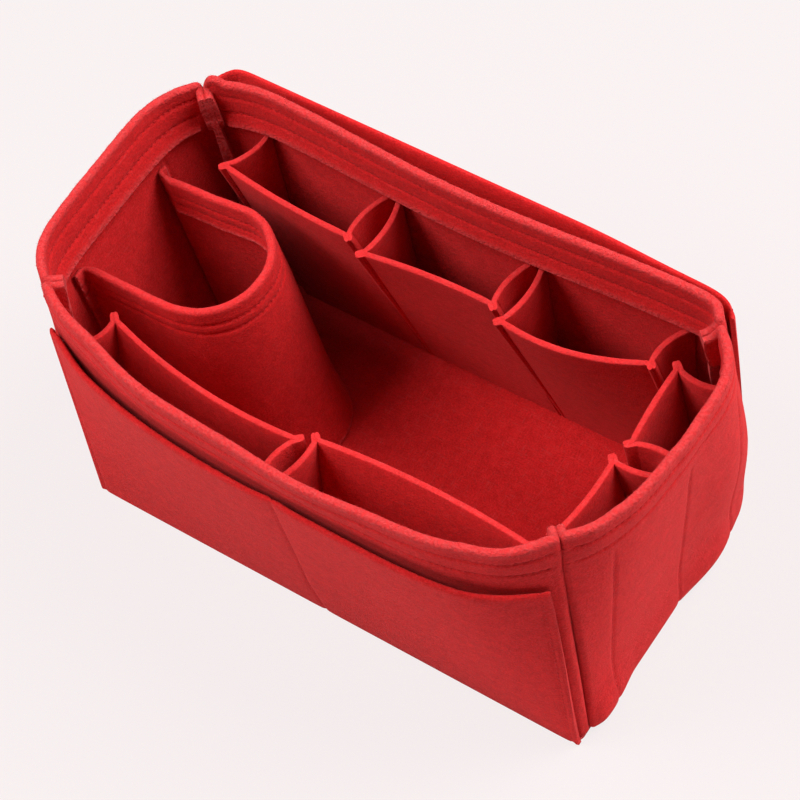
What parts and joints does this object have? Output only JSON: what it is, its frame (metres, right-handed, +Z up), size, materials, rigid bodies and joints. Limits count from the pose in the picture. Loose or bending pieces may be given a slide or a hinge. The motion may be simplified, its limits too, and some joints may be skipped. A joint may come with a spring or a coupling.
{
  "type": "purse organizer insert",
  "caption": "Open felt bin that stands in a handbag, with a hemmed rim, gusseted pockets inside its walls, a looped bottle holder and slip pockets on the outside.",
  "frame": {"origin": "middle of the underside of the base panel, which the bin stands on", "axes": "+X along the length with the bottle holder at the -X end, +Y from the front to the back, +Z up"},
  "size_m": [0.3189, 0.1877, 0.16],
  "materials": {
    "felt": "matt red needle felt with a short nap"
  },
  "bodies": {
    "bin": {"base_panel": "felt", "front_wall": "felt", "back_wall": "felt", "left_end_wall": "felt", "right_end_wall": "felt", "bottle_holder": "felt", "back_pocket_left_gusset_start": "felt", "back_pocket_left_gusset_end": "felt", "back_pocket_middle_gusset_start": "felt", "back_pocket_middle_gusset_end": "felt", "back_pocket_right_gusset_start": "felt", "back_pocket_right_gusset_end": "felt", "front_pocket_left_gusset_start": "felt", "front_pocket_left_gusset_end": "felt", "front_pocket_right_gusset_start": "felt", "front_pocket_right_gusset_end": "felt", "right_pocket_front_gusset_start": "felt", "right_pocket_front_gusset_end": "felt", "right_pocket_back_gusset_start": "felt", "right_pocket_back_gusset_end": "felt"},
    "back_pocket_left": {"back_pocket_left_front": "felt"},
    "back_pocket_middle": {"back_pocket_middle_front": "felt"},
    "back_pocket_right": {"back_pocket_right_front": "felt"},
    "front_pocket_left": {"front_pocket_left_front": "felt"},
    "front_pocket_right": {"front_pocket_right_front": "felt"},
    "right_pocket_front": {"right_pocket_front_front": "felt"},
    "right_pocket_back": {"right_pocket_back_front": "felt"},
    "front_outer_pocket_left": {"front_outer_pocket_left": "felt"},
    "front_outer_pocket_right": {"front_outer_pocket_right": "felt"},
    "back_outer_pocket": {"back_outer_pocket": "felt"}
  },
  "joints": [
    {"name": "back_pocket_left_shut", "type": "hinge", "parent": "bin", "child": "back_pocket_left", "pos_m": [-0.0768, 0.0711, 0.0036], "axis": [-1, 0, 0], "range_deg": [0, 9], "stiffness_Nm_per_rad": 0.1, "deforming": ["back_pocket_left_gusset_start", "back_pocket_left_gusset_end"]},
    {"name": "back_pocket_middle_shut", "type": "hinge", "parent": "bin", "child": "back_pocket_middle", "pos_m": [0.0028, 0.071, 0.0036], "axis": [-1, 0, 0], "range_deg": [0, 9], "stiffness_Nm_per_rad": 0.1, "deforming": ["back_pocket_middle_gusset_start", "back_pocket_middle_gusset_end"]},
    {"name": "back_pocket_right_shut", "type": "hinge", "parent": "bin", "child": "back_pocket_right", "pos_m": [0.0827, 0.0709, 0.0036], "axis": [-1, 0, 0], "range_deg": [0, 6], "stiffness_Nm_per_rad": 0.1, "deforming": ["back_pocket_right_gusset_start", "back_pocket_right_gusset_end"]},
    {"name": "front_pocket_left_shut", "type": "hinge", "parent": "bin", "child": "front_pocket_left", "pos_m": [-0.06, -0.0714, 0.0036], "axis": [1, 0, 0], "range_deg": [0, 7.5], "stiffness_Nm_per_rad": 0.1, "deforming": ["front_pocket_left_gusset_start", "front_pocket_left_gusset_end"]},
    {"name": "front_pocket_right_shut", "type": "hinge", "parent": "bin", "child": "front_pocket_right", "pos_m": [0.0598, -0.0715, 0.0036], "axis": [1, 0, 0], "range_deg": [0, 6.5], "stiffness_Nm_per_rad": 0.1, "deforming": ["front_pocket_right_gusset_start", "front_pocket_right_gusset_end"]},
    {"name": "right_pocket_front_shut", "type": "hinge", "parent": "bin", "child": "right_pocket_front", "pos_m": [0.138, -0.0238, 0.0036], "axis": [0, 1, 0], "range_deg": [0, 7.5], "stiffness_Nm_per_rad": 0.1, "deforming": ["right_pocket_front_gusset_start", "right_pocket_front_gusset_end"]},
    {"name": "right_pocket_back_shut", "type": "hinge", "parent": "bin", "child": "right_pocket_back", "pos_m": [0.138, 0.0283, 0.0036], "axis": [0, 1, 0], "range_deg": [0, 8], "stiffness_Nm_per_rad": 0.1, "deforming": ["right_pocket_back_gusset_start", "right_pocket_back_gusset_end"]},
    {"name": "front_outer_pocket_left_open", "type": "hinge", "parent": "bin", "child": "front_outer_pocket_left", "pos_m": [-0.0746, -0.0783, 0.0033], "axis": [1, 0, 0], "range_deg": [0, 8], "stiffness_Nm_per_rad": 0.2},
    {"name": "front_outer_pocket_right_open", "type": "hinge", "parent": "bin", "child": "front_outer_pocket_right", "pos_m": [0.0807, -0.0784, 0.0033], "axis": [1, 0, 0], "range_deg": [0, 8], "stiffness_Nm_per_rad": 0.2},
    {"name": "back_outer_pocket_open", "type": "hinge", "parent": "bin", "child": "back_outer_pocket", "pos_m": [-0.0056, 0.0782, 0.0033], "axis": [-1, 0, 0], "range_deg": [0, 5], "stiffness_Nm_per_rad": 0.3}
  ]
}
